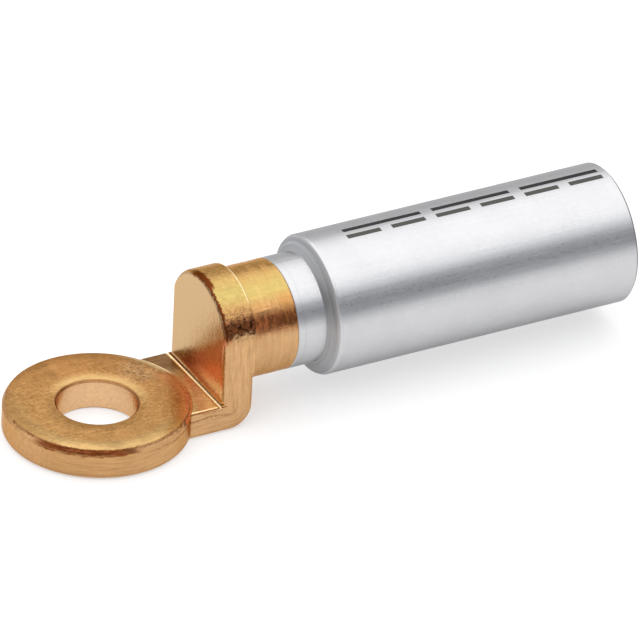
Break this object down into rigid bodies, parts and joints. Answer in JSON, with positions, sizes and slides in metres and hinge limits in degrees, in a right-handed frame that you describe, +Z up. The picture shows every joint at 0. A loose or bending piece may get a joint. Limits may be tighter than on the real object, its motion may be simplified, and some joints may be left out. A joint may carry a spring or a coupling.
{
  "type": "cable lug",
  "caption": "Bimetal compression cable lug: forged copper palm with a bolt hole and a stepped riser, friction welded to a blind aluminium barrel with crimp marks.",
  "frame": {"origin": "centre of the palm's bolt hole, on the flat underside of the palm", "axes": "+Z up out of the palm along the bolt hole's axis; +X from the bolt hole to the barrel's mouth, parallel to the barrel's axis, which lies 13.8 mm above the underside; +Y across, and the part is symmetric about the plane Y = 0"},
  "size_m": [0.1067, 0.0302, 0.0253],
  "materials": {
    "copper": "bare forged copper, slightly mottled, turned on the neck",
    "aluminium": "bare turned and drawn aluminium, satin"
  },
  "bodies": {
    "root": {"copper_palm": "copper", "aluminium_barrel": "aluminium"}
  },
  "joints": []
}
